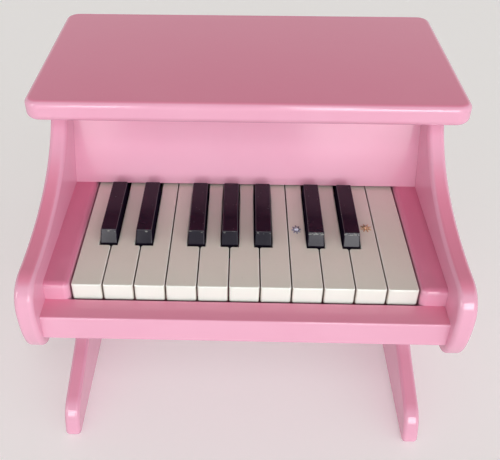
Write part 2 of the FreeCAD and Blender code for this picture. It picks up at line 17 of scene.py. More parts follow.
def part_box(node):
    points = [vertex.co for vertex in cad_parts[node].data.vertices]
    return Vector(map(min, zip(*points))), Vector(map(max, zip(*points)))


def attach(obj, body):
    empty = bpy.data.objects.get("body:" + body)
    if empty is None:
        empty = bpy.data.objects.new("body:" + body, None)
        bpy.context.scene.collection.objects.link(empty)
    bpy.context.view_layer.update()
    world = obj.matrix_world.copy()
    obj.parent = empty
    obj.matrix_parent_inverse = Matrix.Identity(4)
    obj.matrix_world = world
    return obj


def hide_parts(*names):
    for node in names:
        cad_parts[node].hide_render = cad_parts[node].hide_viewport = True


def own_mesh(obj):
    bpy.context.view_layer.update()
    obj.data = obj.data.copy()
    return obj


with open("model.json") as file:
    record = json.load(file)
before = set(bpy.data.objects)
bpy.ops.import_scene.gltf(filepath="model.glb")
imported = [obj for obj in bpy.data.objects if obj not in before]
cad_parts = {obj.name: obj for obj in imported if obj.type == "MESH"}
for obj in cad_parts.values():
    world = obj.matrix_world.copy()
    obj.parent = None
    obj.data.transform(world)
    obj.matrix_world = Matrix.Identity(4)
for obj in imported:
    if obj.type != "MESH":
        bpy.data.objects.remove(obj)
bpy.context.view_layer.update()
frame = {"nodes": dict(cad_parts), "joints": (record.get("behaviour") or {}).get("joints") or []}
MM = 0.001
nodes = frame["nodes"]

# %% [markdown]
# ## The camera
# The picture was taken by hand from above the keyboard, a touch left of the middle. A camera is
# a place, three turns and a lens. Its three axes are worked out from the turns and written as the
# columns of a matrix, which is safer than aiming with a constraint. Its place is counted from the
# top front edge of the white keys, the part of the picture that is easiest to measure. The optical
# centre lies left of the picture's middle, as in a cropped picture, and a small lens shift stands
# for that.

# %% Place the camera
PICTURE_WIDTH = 500
FOCAL_PIXELS = 693.549
CENTRE_PIXEL = 225.41
SENSOR = 36.0
CLIP_START = 0.01
key_low, key_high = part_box("white_key_01")
KEY_EDGE = Vector((0, key_low.y, key_high.z))
CAMERA_PLACE = KEY_EDGE + Vector((-3.91, -325.97, 307.102)) * MM
YAW, PITCH, ROLL = (math.radians(angle) for angle in (-1.456, 38.56, 0.032))

ahead = Vector((math.sin(YAW) * math.cos(PITCH), math.cos(YAW) * math.cos(PITCH),
                -math.sin(PITCH)))
level = Vector((math.cos(YAW), -math.sin(YAW), 0))
upright = level.cross(ahead)
right = level * math.cos(ROLL) + upright * math.sin(ROLL)
above = upright * math.cos(ROLL) - level * math.sin(ROLL)
turned = Matrix((right, above, -ahead)).transposed().to_4x4()

camera = bpy.data.objects.new("camera", bpy.data.cameras.new("camera"))
bpy.context.scene.collection.objects.link(camera)
camera.data.sensor_fit = "HORIZONTAL"
camera.data.sensor_width = SENSOR
camera.data.lens = FOCAL_PIXELS / PICTURE_WIDTH * SENSOR
camera.data.shift_x = 0.5 - CENTRE_PIXEL / PICTURE_WIDTH
camera.data.clip_start = CLIP_START
camera.matrix_world = Matrix.Translation(CAMERA_PLACE) @ turned
bpy.context.scene.camera = camera
print("lens", round(camera.data.lens, 2), "mm, shift", round(camera.data.shift_x, 4))

# %% [markdown]
# ## A helper for nodes
# A shader is a list of nodes and wires. Writing each one takes several lines, so one small
# function adds a node, sets its choices and fills its inputs. An input that is given a socket
# is wired to it, and any other value is simply set. Arithmetic on masks is so common that it
# gets short functions too.


# %% Node helpers
def add(tree, kind, inputs=None, **choices):
    """Adds a node of a kind, sets its choices, and wires or sets the named inputs."""
    made = tree.nodes.new(kind)
    for name, value in choices.items():
        setattr(made, name, value)
    for name, value in (inputs or {}).items():
        if isinstance(value, bpy.types.NodeSocket):
            tree.links.new(value, made.inputs[name])
        else:
            made.inputs[name].default_value = value
    return made


def sums(tree, operation, a, b=0.0):
    """One arithmetic node."""
    return add(tree, "ShaderNodeMath", {0: a, 1: b}, operation=operation).outputs[0]


def times(tree, value, *others):
    """The product of two or more values."""
    for other in others:
        value = sums(tree, "MULTIPLY", value, other)
    return value


def blank_material(name, constants=None):
    """A material with an empty tree and its Principled shader, with constants on its sockets."""
    material = bpy.data.materials.new(name)
    material.use_nodes = True
    tree = material.node_tree
    tree.nodes.clear()
    shader = add(tree, "ShaderNodeBsdfPrincipled", constants)
    add(tree, "ShaderNodeOutputMaterial", {"Surface": shader.outputs["BSDF"]})
    return material, tree, shader


print("node helpers ready")

# %% [markdown]
# ## A pale floor
# The floor is matt and pale and keeps the shadow. A matt floor under soft light comes out grey, so
# it glows a little, but only for rays that come from the camera or from a reflection. The piano
# itself gets no light from that glow.

# %% Build the floor
WHITE = (1, 1, 1, 1)
FLOOR_HALF = 6.0
FLOOR_GLOW = 0.20
FLOOR_PAINT = {"Base Color": (0.86, 0.86, 0.86, 1), "Roughness": 0.85, "Specular IOR Level": 0.1,
               "Emission Color": WHITE}


def seen_directly(tree):
    """1 for rays from the camera, a mirror or glass, and 0 for the rays that light the piano."""
    ray = add(tree, "ShaderNodeLightPath").outputs
    reflected = sums(tree, "MAXIMUM", ray["Is Glossy Ray"], ray["Is Transmission Ray"])
    return sums(tree, "MAXIMUM", ray["Is Camera Ray"], reflected)


corners = np.array([(-1, -1, 0), (1, -1, 0), (1, 1, 0), (-1, 1, 0)]) * FLOOR_HALF
floor_mesh = bpy.data.meshes.new("floor")
floor_mesh.from_pydata(corners.tolist(), [], [(0, 1, 2, 3)])
floor = bpy.data.objects.new("floor", floor_mesh)
bpy.context.scene.collection.objects.link(floor)
floor_paint, floor_tree, floor_shader = blank_material("pale_floor", FLOOR_PAINT)
floor_tree.links.new(times(floor_tree, seen_directly(floor_tree), FLOOR_GLOW),
                     floor_shader.inputs["Emission Strength"])
floor_mesh.materials.append(floor_paint)
print("floor", 2 * FLOOR_HALF, "m wide")

# %% [markdown]
# ## Light from the room
# The fronts of the real piano are nearly twice as bright as its tops: a broad window stands low
# behind the camera, and the rest of the room is dimmer and a little warm. One lamp could stand for
# the window, but every gloss black key would mirror it. So the window is part of the sky. Its
# brightness grows towards the front and falls with height, and a weaker one stands opposite.

# %% Room and window
ROOM_COLOUR, ROOM_LEVEL = (1.0, 0.865, 0.81, 1), 0.37
WINDOW_COLOUR, WINDOW_LEVEL = (0.94, 1.045, 1.045, 1), 3.95
WINDOW_WAY = (0.25, -0.97)
WINDOW_FALL = 2.0
OPPOSITE_SHARE = 0.25


def split(tree, vector):
    """The X, Y and Z of a vector."""
    return add(tree, "ShaderNodeSeparateXYZ", {"Vector": vector}).outputs


def inverse(tree, mask):
    """1 minus a mask."""
    return sums(tree, "SUBTRACT", 1.0, mask)


sky = bpy.data.worlds.new("studio_sky")
sky.use_nodes = True
sky_tree = sky.node_tree
sky_tree.nodes.clear()
way = split(sky_tree, add(sky_tree, "ShaderNodeTexCoord").outputs["Generated"])
towards = sums(sky_tree, "ADD", times(sky_tree, way["X"], WINDOW_WAY[0]),
               times(sky_tree, way["Y"], WINDOW_WAY[1]))
frontness = sums(sky_tree, "MAXIMUM", towards, times(sky_tree, towards, -OPPOSITE_SHARE))
steepness = sums(sky_tree, "ABSOLUTE", way["Z"])
lowness = sums(sky_tree, "POWER", inverse(sky_tree, steepness), WINDOW_FALL)
window_level = times(sky_tree, frontness, lowness, WINDOW_LEVEL)
room = add(sky_tree, "ShaderNodeBackground", {"Color": ROOM_COLOUR, "Strength": ROOM_LEVEL})
window = add(sky_tree, "ShaderNodeBackground", {"Color": WINDOW_COLOUR, "Strength": window_level})
daylight = add(sky_tree, "ShaderNodeAddShader", {0: room.outputs[0], 1: window.outputs[0]})
print("window", WINDOW_LEVEL, "over a room of", ROOM_LEVEL)

# %% [markdown]
# ## What gloss paint mirrors
# The camera and all mirrors see other things than that light: plain pale walls and a dimmer
# ceiling. Gloss paint also mirrors three tall bright panes, two on the left and one on the right.
# They give it crisp highlights on the round noses and toes. A pane lies between two bearings,
# counted in degrees from straight in front of the piano, to the right. It is dim at its foot, so
# that the leaning front panel mirrors it faintly, and it ends sharply at its head.

# %% Walls and panes
WALL_LEVEL, CEILING_LEVEL = 0.85, 0.30
CEILING_RANGE = (0.30, 0.58)
PANE_LEVEL = 9.0
PANE_BEARINGS = ((-60, -48), (-15.5, -11), (6, 26))
PANE_EDGE = 0.02
PANE_FOOT, PANE_HEAD = (0.10, 0.34), (0.58, 0.60)


def rise(tree, value, low, high):
    """Smooth step: 0 below low, 1 above high."""
    step = add(tree, "ShaderNodeMapRange", {"Value": value, "From Min": low, "From Max": high},
               interpolation_type="SMOOTHSTEP")
    return step.outputs["Result"]


def between(tree, value, limits, soft):
    """1 inside two limits, falling to 0 over a soft edge."""
    low, high = limits
    return sums(tree, "SUBTRACT", rise(tree, value, low - soft, low),
                rise(tree, value, high, high + soft))


def plus(tree, base, *shares):
    """A base value plus every mask times its share."""
    for mask, share in shares:
        base = sums(tree, "ADD", base, times(tree, mask, share))
    return base


bearing = sums(sky_tree, "ARCTAN2", way["X"], times(sky_tree, way["Y"], -1.0))
panes = 0.0
for limits in np.radians(PANE_BEARINGS).tolist():
    panes = sums(sky_tree, "ADD", panes, between(sky_tree, bearing, limits, PANE_EDGE))
tall = sums(sky_tree, "SUBTRACT", rise(sky_tree, way["Z"], *PANE_FOOT),
            rise(sky_tree, way["Z"], *PANE_HEAD))
glossy = add(sky_tree, "ShaderNodeLightPath").outputs["Is Glossy Ray"]
wall_level = plus(sky_tree, WALL_LEVEL,
                  (rise(sky_tree, way["Z"], *CEILING_RANGE), CEILING_LEVEL - WALL_LEVEL),
                  (times(sky_tree, panes, tall, glossy), PANE_LEVEL))
walls = add(sky_tree, "ShaderNodeBackground", {"Color": WHITE, "Strength": wall_level})
either = add(sky_tree, "ShaderNodeMixShader", {0: seen_directly(sky_tree), 1: daylight.outputs[0],
                                               2: walls.outputs[0]})
add(sky_tree, "ShaderNodeOutputWorld", {"Surface": either.outputs[0]})
bpy.context.scene.world = sky
bpy.context.scene.view_settings.view_transform = "Standard"
print(len(PANE_BEARINGS), "panes in walls of", WALL_LEVEL)

# %% [markdown]
# ## A small lamp
# The sky does most of the lighting. One small lamp high in front adds a glint to the foil and the
# rims. It is weak and has some size, so that its shadow stays soft.

# %% Hang the lamp
LAMP_PLACE = Vector((0.3, -1.38, 1.87))
LAMP_AIM = Vector((0, 0, 0.18))
LAMP_SIZE = (0.28, 0.34)
LAMP_WATTS = 4.2

lamp = bpy.data.objects.new("small_lamp", bpy.data.lights.new("small_lamp", "AREA"))
lamp.data.shape = "RECTANGLE"
lamp.data.size, lamp.data.size_y = LAMP_SIZE
lamp.data.energy = LAMP_WATTS
lamp.location = LAMP_PLACE
lamp.rotation_euler = (LAMP_AIM - LAMP_PLACE).to_track_quat("-Z", "Y").to_euler()
bpy.context.scene.collection.objects.link(lamp)
print("lamp", LAMP_WATTS, "W at", [round(c, 2) for c in LAMP_PLACE])

# %% [markdown]
# ## Effects that several finishes share
# Dust, rubbed edges and the ripple of sprayed paint turn up on many surfaces, each time with
# other amounts. Such an effect is a node group: it is built once, has named inputs and outputs,
# and every material that needs it places a copy with its own values. A group here only puts out
# masks and heights, and the shader that uses them stays in the material.


# %% Group helpers
def start_group(name, inputs, outputs):
    """A new group with named sockets; returns its tree, its inputs and its outputs inside."""
    tree = bpy.data.node_groups.new(name, "ShaderNodeTree")
    for label, kind, value in inputs:
        socket = tree.interface.new_socket(label, in_out="INPUT", socket_type="NodeSocket" + kind)
        socket.default_value = value
    for label in outputs:
        tree.interface.new_socket(label, in_out="OUTPUT", socket_type="NodeSocketFloat")
    return tree, add(tree, "NodeGroupInput").outputs, add(tree, "NodeGroupOutput").inputs


def place_group(tree, group, inputs):
    """Puts a group into a material and returns its outputs."""
    return add(tree, "ShaderNodeGroup", inputs, node_tree=group).outputs


def noise(tree, vector, scale, detail, roughness=0.5):
    """Cloudy noise from 0 to 1, with a scale in lumps per metre."""
    made = add(tree, "ShaderNodeTexNoise", {"Vector": vector, "Scale": scale, "Detail": detail,
                                            "Roughness": roughness})
    return made.outputs["Fac"]


print("group helpers ready")

# %% [markdown]
# ### Sprayed lacquer
# Toy paint is sprayed thick and dries with a faint ripple, called orange peel. Its colour is not
# quite even, and fingers leave hazy patches that are less glossy. Noises at very different scales
# give the three effects: lumps of nearly a decimetre for the colour, of centimetres for the haze,
# and of millimetres for the ripple, which also gets a little finer grit.

# %% Lacquer group
CLOUD_SCALE, HAZE_SCALE, RIPPLE_SCALE, GRIT_SCALE = 14.0, 38.0, 210.0, 1400.0
CLOUD_RANGE, HAZE_RANGE = (0.32, 0.68), (0.48, 0.74)
GRIT_SHARE = 0.12

skin, got, put = start_group("lacquer_skin", [("Vector", "Vector", (0, 0, 0))],
                             ["Cloud", "Haze", "Peel"])
cloud = noise(skin, got["Vector"], CLOUD_SCALE, detail=4.0)
patch = noise(skin, got["Vector"], HAZE_SCALE, detail=6.0, roughness=0.62)
ripple = noise(skin, got["Vector"], RIPPLE_SCALE, detail=2.0)
grit = noise(skin, got["Vector"], GRIT_SCALE, detail=1.0)
skin.links.new(rise(skin, cloud, *CLOUD_RANGE), put["Cloud"])
skin.links.new(rise(skin, patch, *HAZE_RANGE), put["Haze"])
skin.links.new(plus(skin, ripple, (grit, GRIT_SHARE)), put["Peel"])
print(skin.name, [socket.name for socket in skin.interface.items_tree])

# %% [markdown]
# ### Settled dust
# Dust lies on what faces up. The surface normal's height says how far a face looks up, a soft
# noise makes drifts, and round cells make single specks. The normal is the object's own, so the
# dust stays with a key when the key is pressed.

# %% Dust group
LYING_RANGE, DRIFT_RANGE = (0.7, 0.98), (0.35, 0.75)
DRIFT_SCALE, SPECK_SCALE, SPECK_PATCH_SCALE = 24.0, 260.0, 60.0
SPECK_GROWTH, SPECK_LEAST = 0.22, 0.03

dust_group, got, put = start_group(
    "settled_dust", [("Vector", "Vector", (0, 0, 0)), ("Normal", "Vector", (0, 0, 1)),
                     ("Amount", "Float", 0.5)], ["Film", "Specks"])
lying = rise(dust_group, split(dust_group, got["Normal"])["Z"], *LYING_RANGE)
drift = noise(dust_group, got["Vector"], DRIFT_SCALE, detail=5.0, roughness=0.6)
film = times(dust_group, lying, rise(dust_group, drift, *DRIFT_RANGE), got["Amount"])
cells = add(dust_group, "ShaderNodeTexVoronoi", {"Vector": got["Vector"], "Scale": SPECK_SCALE})
gathered = noise(dust_group, got["Vector"], SPECK_PATCH_SCALE, detail=2.0)
speck_size = sums(dust_group, "SUBTRACT", times(dust_group, gathered, SPECK_GROWTH), SPECK_LEAST)
near = sums(dust_group, "LESS_THAN", cells.outputs["Distance"], speck_size)
dust_group.links.new(film, put["Film"])
dust_group.links.new(times(dust_group, near, lying, got["Amount"]), put["Specks"])
print(dust_group.name, [socket.name for socket in dust_group.interface.items_tree])

# %% [markdown]
# ### Rubbed rims
# Hands and shoes rub paint where a board turns a corner. On a board the flat faces look along
# one axis or square to it, and only the rounded rim looks between. So the mask takes how far the
# normal turns towards a chosen axis and keeps a window of it. A patchy noise breaks the rim up,
# because no rim wears evenly.

# %% Rim group
RIM_FADE_IN, RIM_FADE_OUT, BARE_EDGE = 0.12, 0.08, 0.06

rim_group, got, put = start_group(
    "rubbed_rims", [("Vector", "Vector", (0, 0, 0)), ("Normal", "Vector", (0, 0, 1)),
                    ("Axis", "Vector", (0, 0, 1)), ("From", "Float", 0.3), ("To", "Float", 0.95),
                    ("Patch Scale", "Float", 120.0), ("Bare From", "Float", 0.62)],
    ["Rim", "Rub"])
turn = add(rim_group, "ShaderNodeVectorMath", {0: got["Normal"], 1: got["Axis"]},
           operation="DOT_PRODUCT")
facing = sums(rim_group, "ABSOLUTE", turn.outputs["Value"])
entered = rise(rim_group, facing, got["From"], sums(rim_group, "ADD", got["From"], RIM_FADE_IN))
passed = rise(rim_group, facing, sums(rim_group, "SUBTRACT", got["To"], RIM_FADE_OUT), got["To"])
rim = times(rim_group, inverse(rim_group, passed), entered)
patches = noise(rim_group, got["Vector"], got["Patch Scale"], detail=5.0, roughness=0.65)
worn = rise(rim_group, patches, got["Bare From"],
            sums(rim_group, "ADD", got["Bare From"], BARE_EDGE))
rim_group.links.new(rim, put["Rim"])
rim_group.links.new(times(rim_group, rim, worn), put["Rub"])
print(rim_group.name, [socket.name for socket in rim_group.interface.items_tree])

# %% [markdown]
# ## Layers of colour
# Paint, soil, dust and scuffs lie over each other, so a finish is a base colour with layers on it.
# A layer has a mask, the share of that mask that is used, and a colour of its own. A mix node lays
# it over what is below. Fine relief is a height that goes into the normal as a bump.


# %% Layer helpers
def mixed(tree, share, first, second):
    """Colour between two, by a share from 0 to 1."""
    made = add(tree, "ShaderNodeMix", {"Factor": share}, data_type="RGBA")
    colour_inputs = [socket for socket in made.inputs if socket.type == "RGBA"]
    for socket, value in zip(colour_inputs, (first, second)):
        if isinstance(value, bpy.types.NodeSocket):
            tree.links.new(value, socket)
        else:
            socket.default_value = (*value, 1)
    return [socket for socket in made.outputs if socket.type == "RGBA"][0]


def layered(tree, colour, *layers):
    """A colour with layers over it, each a mask, the share of it that is used, and its colour."""
    for mask, share, tint in layers:
        colour = mixed(tree, times(tree, mask, share), colour, tint)
    return colour


def relief(tree, shader, height, strength, distance):
    """Feeds a height into the shader's normal as a fine bump."""
    bump = add(tree, "ShaderNodeBump", {"Strength": strength, "Distance": distance,
                                        "Height": height})
    tree.links.new(bump.outputs["Normal"], shader.inputs["Normal"])


print("layer helpers ready")

# %% [markdown]
# ## Pink lacquer
# The boards are sprayed a candy pink and polished by use. A paint could be one colour with a low
# roughness, but then every board would look like plastic. Here the cloud shifts the colour a
# little. Faces that look up are painted a deeper pink, a painted shade for the dimmer light that
# falls on tops, and the legs get less of it. Haze and dust dull the gloss, the peel becomes a fine
# bump, and the undercoat shows where a rim is rubbed. The pairs below are a layer's share and its
# colour.

# %% Pink finish
PINK = (0.85, 0.41, 0.56)
PINK_TOP_SHADE = (0.825, 0.25, 0.385)
PINK_DUST = (0.80, 0.58, 0.62)
PINK_CLOUD = 0.4, (0.82, 0.36, 0.51)
PINK_FILM = 0.04, PINK_DUST
PINK_SPECK = 0.30, PINK_DUST
PINK_RUB = 0.30, (0.90, 0.60, 0.68)
PINK_ROUGH, HAZE_DULLS, FILM_DULLS, RUB_DULLS = 0.10, 0.07, 0.15, 0.15
RIM_FROM, PINK_BARE = 0.2, 0.70
LEG_TOP, LEG_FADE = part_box("keybed")[0].z, 30 * MM
LEG_SHADE_SHARE, MORE_SHADE_ABOVE = 0.4, 0.5


def pink_lacquer(name, rim_axis, dust, rim_to=0.95, flat=PINK_TOP_SHADE, shade_facing=(0.80, 0.98)):
    """Gloss paint over board, with its rims rubbed where the normal leaves the given axis."""
    material, tree, shader = blank_material(name)
    spot = add(tree, "ShaderNodeTexCoord").outputs
    surface = {"Vector": spot["Object"], "Normal": spot["Normal"]}
    paint = place_group(tree, skin, {"Vector": spot["Object"]})
    settled = place_group(tree, dust_group, {**surface, "Amount": dust})
    rims = place_group(tree, rim_group, {**surface, "Axis": rim_axis, "From": RIM_FROM,
                                         "To": rim_to, "Bare From": PINK_BARE})
    # painted shade: faces that look up get a deeper pink for the dimmer light on tops, and the
    # legs below the keybed get less of it
    upward = rise(tree, split(tree, spot["Normal"])["Z"], *shade_facing)
    body = rise(tree, split(tree, spot["Object"])["Z"], LEG_TOP - LEG_FADE, LEG_TOP)
    top_shade_share = plus(tree, LEG_SHADE_SHARE, (body, MORE_SHADE_ABOVE))
    colour = layered(tree, PINK, (paint["Cloud"], *PINK_CLOUD), (upward, top_shade_share, flat),
                     (settled["Film"], *PINK_FILM), (settled["Specks"], *PINK_SPECK),
                     (rims["Rub"], *PINK_RUB))
    rough = plus(tree, PINK_ROUGH, (paint["Haze"], HAZE_DULLS), (settled["Film"], FILM_DULLS),
                 (rims["Rub"], RUB_DULLS))
    tree.links.new(colour, shader.inputs["Base Color"])
    tree.links.new(rough, shader.inputs["Roughness"])
    relief(tree, shader, paint["Peel"], strength=0.06, distance=0.4 * MM)
    return material


print("pink finish ready")

# %% [markdown]
# ### Painting the boards
# Boards differ in which axis they are thin along, in their dust, and in the painted shade on
# their tops: the rail's is lighter than the rest, and the two cheeks beside the keys, which lie in
# shade, are painted deeper. A CAD node keeps its mesh and its place. Only the material in its
# slot is exchanged.

# %% Dress the boards
X_AXIS, Z_AXIS = (1, 0, 0), (0, 0, 1)
# painted shade on the tops: lighter on the rail, deeper on the cheeks and over more of their faces
RAIL_TOP_SHADE = (0.82, 0.285, 0.42)
CHEEK_TOP_SHADE, CHEEK_SHADE_FACING = (0.715, 0.212, 0.345), (0.30, 0.75)


def dress(names, material):
    """Gives a finish to CAD nodes, in the slot that each one has."""
    for name in names:
        nodes[name].material_slots[0].material = material
    print(material.name, "on", len(names), "nodes")


dress(["top_board"], pink_lacquer("pink_top", Z_AXIS, dust=0.55, rim_to=0.97))
dress(["left_side_panel", "right_side_panel"], pink_lacquer("pink_sides", X_AXIS, dust=0.4))
dress(["front_rail"], pink_lacquer("pink_rail", Z_AXIS, dust=0.5, flat=RAIL_TOP_SHADE))
dress(["left_key_cheek", "right_key_cheek"],
      pink_lacquer("pink_cheeks", Z_AXIS, dust=0.5, flat=CHEEK_TOP_SHADE, shade_facing=CHEEK_SHADE_FACING))
dress(["front_panel", "keybed", "back_panel"], pink_lacquer("pink_boards", X_AXIS, dust=0.3))

# %% [markdown]
# ## White keys
# The keys are wood with a skin of enamel. The white ones are satin: the paint is sanded along the
# key, which leaves very fine lines. Years of fingers leave a warm grey soil on top. The sides are
# painted darker and warmer, a painted shade for the gaps between keys; the fronts are painted
# whiter, a painted light for the light from the front; and the rims are painted paler, a painted
# highlight. The normal tells these faces apart.

# %% White finish
KEY_WHITE = (0.765, 0.745, 0.665)
SOIL, GREY = (0.70, 0.655, 0.585), (0.58, 0.54, 0.49)
WHITE_SOIL = 0.22, SOIL
WHITE_FRONT_LIGHT = 0.9, (0.90, 0.95, 0.88)
WHITE_GAP_SHADE = 0.8, (0.50, 0.41, 0.37)
WHITE_LINE = 0.06, SOIL
WHITE_SPECK = 0.5, GREY
WHITE_RIM_HIGHLIGHT = 0.75, (0.93, 0.94, 0.90)
WHITE_RUB = 0.25, GREY
WHITE_RIMS = {"Axis": Z_AXIS, "From": 0.15, "To": 0.97, "Patch Scale": 160.0, "Bare From": 0.64}
WHITE_DUST, WHITE_GLOSS = 0.5, {"Specular IOR Level": 0.9}
WHITE_ROUGH, SOIL_DULLS, LINE_DULLS = 0.20, 0.02, 0.05
SANDING, SOIL_SCALE, SOIL_RANGE = (2200.0, 55.0, 900.0), 46.0, (0.42, 0.78)
GAP_SHADE_FACING, FRONT_LIGHT_FACING = (0.80, 0.98), (0.60, 0.98)


def stretched(tree, vector, scale):
    """The coordinates with each axis scaled by its own factor."""
    return add(tree, "ShaderNodeMapping", {"Vector": vector, "Scale": scale}).outputs["Vector"]


def white_enamel():
    """Satin white, soiled on top, with painted shade on the sides that face the gaps, painted
    light that makes the fronts whiter, a painted highlight along the rims, and rubbed grey in
    places."""
    material, tree, shader = blank_material("white_key_enamel_worn", WHITE_GLOSS)
    spot = add(tree, "ShaderNodeTexCoord").outputs
    surface = {"Vector": spot["Object"], "Normal": spot["Normal"]}
    lines = noise(tree, stretched(tree, spot["Object"], SANDING), 1.0, detail=2.0)
    touched = noise(tree, spot["Object"], SOIL_SCALE, detail=6.0, roughness=0.62)
    soil = rise(tree, touched, *SOIL_RANGE)
    settled = place_group(tree, dust_group, {**surface, "Amount": WHITE_DUST})
    rims = place_group(tree, rim_group, {**surface, **WHITE_RIMS})
    faces = split(tree, spot["Normal"])
    # painted shade: the sides, which face the gaps between keys, are painted darker and warmer
    gap_shaded = rise(tree, sums(tree, "ABSOLUTE", faces["X"]), *GAP_SHADE_FACING)
    # painted light: the fronts are painted whiter, for the light that falls on them from the front
    front_lit = rise(tree, times(tree, faces["Y"], -1.0), *FRONT_LIGHT_FACING)
    # the rim layer is a painted highlight: the rounded rims are painted paler
    colour = layered(tree, KEY_WHITE, (soil, *WHITE_SOIL), (front_lit, *WHITE_FRONT_LIGHT),
                     (gap_shaded, *WHITE_GAP_SHADE), (lines, *WHITE_LINE),
                     (settled["Specks"], *WHITE_SPECK), (rims["Rim"], *WHITE_RIM_HIGHLIGHT),
                     (rims["Rub"], *WHITE_RUB))
    rough = plus(tree, WHITE_ROUGH, (soil, SOIL_DULLS), (lines, LINE_DULLS))
    tree.links.new(colour, shader.inputs["Base Color"])
    tree.links.new(rough, shader.inputs["Roughness"])
    relief(tree, shader, lines, strength=0.06, distance=0.2 * MM)
    return material


white_names = sorted(name for name in nodes if name.startswith("white_key"))
dress(white_names, white_enamel())

# %% [markdown]
# ## Black keys
# The black keys are glossier. Their tops mirror the pink panel behind them, and pale scuffs show
# along the rims where a finger slides off, most of all on the two highest ones. The rims are also
# painted a paler grey, a painted highlight for their rounded edges. A clear coat gives the gloss,
# and it is left off the side faces, which are matt, and off every scuff. The brow is the strip at
# the top of the front face, where the scuffs are longest.

# %% Black finish
KEY_BLACK, KEY_BLOOM = (0.006, 0.004, 0.012), (0.014, 0.009, 0.020)
BLACK_SPECK = 0.20, GREY
BLACK_RIM_HIGHLIGHT = 0.65, (0.11, 0.10, 0.115)
BLACK_SCUFF = 0.9, (0.27, 0.265, 0.26)
BLACK_RIMS = {"Axis": Z_AXIS, "From": 0.55, "To": 0.985, "Patch Scale": 170.0}
BLACK_GLOSS = {"Specular IOR Level": 0.0, "Coat IOR": 1.36, "Coat Roughness": 0.14}
BLACK_DUST, BLACK_ROUGH, BLACK_HAZE_DULLS, COAT_HAZE = 0.8, 0.55, 0.2, 0.25
MATT_FACING, BROW_FACING = (0.75, 0.97), (0.2, 0.6)
BROW, BROW_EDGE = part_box("black_key_01")[1].z - 1.3 * MM, 0.5 * MM
FLAKES, FLAKE_FROM, FLAKE_TO = (420.0, 900.0, 900.0), 0.10, 0.04
BARE_KEPT, BARE_SCUFFED = 0.68, 0.60
SCUFFED_KEYS = 2


def black_enamel(name, bare_from):
    """Purple-black, clear-coated on the top and front only, with a painted highlight of paler grey
    along the rims, and scuffed at the front edge. A lower bare_from means more scuffs."""
    material, tree, shader = blank_material(name, BLACK_GLOSS)
    spot = add(tree, "ShaderNodeTexCoord").outputs
    surface = {"Vector": spot["Object"], "Normal": spot["Normal"]}
    paint = place_group(tree, skin, {"Vector": spot["Object"]})
    settled = place_group(tree, dust_group, {**surface, "Amount": BLACK_DUST})
    rims = place_group(tree, rim_group, {**surface, **BLACK_RIMS, "Bare From": bare_from})
    faces, place = split(tree, spot["Normal"]), split(tree, spot["Object"])
    sideways = rise(tree, sums(tree, "ABSOLUTE", faces["X"]), *MATT_FACING)
    brow = times(tree, rise(tree, place["Z"], BROW - BROW_EDGE, BROW),
                 rise(tree, times(tree, faces["Y"], -1.0), *BROW_FACING))
    flakes = noise(tree, stretched(tree, spot["Object"], FLAKES), 1.0, detail=4.0, roughness=0.6)
    flaked = rise(tree, flakes, bare_from - FLAKE_FROM, bare_from - FLAKE_TO)
    scuff = sums(tree, "MAXIMUM", rims["Rub"], times(tree, brow, flaked))
    # the rim layer is a painted highlight: the rounded rims are painted a paler grey
    colour = layered(tree, mixed(tree, paint["Cloud"], KEY_BLACK, KEY_BLOOM),
                     (settled["Specks"], *BLACK_SPECK), (rims["Rim"], *BLACK_RIM_HIGHLIGHT),
                     (scuff, *BLACK_SCUFF))
    rough = plus(tree, BLACK_ROUGH, (paint["Haze"], BLACK_HAZE_DULLS))
    coat = times(tree, inverse(tree, sums(tree, "MAXIMUM", sideways, scuff)),
                 inverse(tree, times(tree, paint["Haze"], COAT_HAZE)))
    tree.links.new(colour, shader.inputs["Base Color"])
    tree.links.new(rough, shader.inputs["Roughness"])
    tree.links.new(coat, shader.inputs["Coat Weight"])
    relief(tree, shader, paint["Peel"], strength=0.12, distance=0.3 * MM)
    return material


black_names = sorted(name for name in nodes if name.startswith("black_key"))
dress(black_names[:-SCUFFED_KEYS], black_enamel("black_key_enamel_kept", BARE_KEPT))
dress(black_names[-SCUFFED_KEYS:], black_enamel("black_key_enamel_scuffed", BARE_SCUFFED))

# %% [markdown]
# ## What is inside: wood, metal, plastic
# Rails and dowels are bare pale wood, the pivots and tone rods bright drawn steel, the block a
# rough grey casting and the hammers moulded plastic. They hardly show, yet each is a real
# material. Grain, drawing marks and casting skin are all one trick: noise stretched along the way
# the stuff was made.

# %% Grain finish
BAND_RANGE, FIBRE_SCALE = (0.3, 0.7), 7.0
FIBRE_SHARE, FIBRE_DULLS = 0.35, 0.2

grain_group, got, put = start_group(
    "drawn_grain", [("Vector", "Vector", (0, 0, 0)), ("Stretch", "Vector", (1, 1, 1))],
    ["Bands", "Fibres"])
drawn = add(grain_group, "ShaderNodeVectorMath", {0: got["Vector"], 1: got["Stretch"]},
            operation="MULTIPLY").outputs[0]
bands = noise(grain_group, drawn, 1.0, detail=3.0, roughness=0.55)
fibres = noise(grain_group, drawn, FIBRE_SCALE, detail=2.0)
grain_group.links.new(rise(grain_group, bands, *BAND_RANGE), put["Bands"])
grain_group.links.new(fibres, put["Fibres"])


def grained(name, stretch, light, dark, rough, metal=0.0, strength=0.2):
    """A finish whose colour, roughness and relief follow one stretched grain."""
    material, tree, shader = blank_material(name, {"Metallic": metal})
    spot = add(tree, "ShaderNodeTexCoord").outputs
    grain = place_group(tree, grain_group, {"Vector": spot["Object"], "Stretch": stretch})
    colour = layered(tree, mixed(tree, grain["Bands"], light, dark),
                     (grain["Fibres"], FIBRE_SHARE, dark))
    tree.links.new(colour, shader.inputs["Base Color"])
    tree.links.new(plus(tree, rough, (grain["Fibres"], FIBRE_DULLS)), shader.inputs["Roughness"])
    relief(tree, shader, grain["Fibres"], strength=strength, distance=0.4 * MM)
    return material


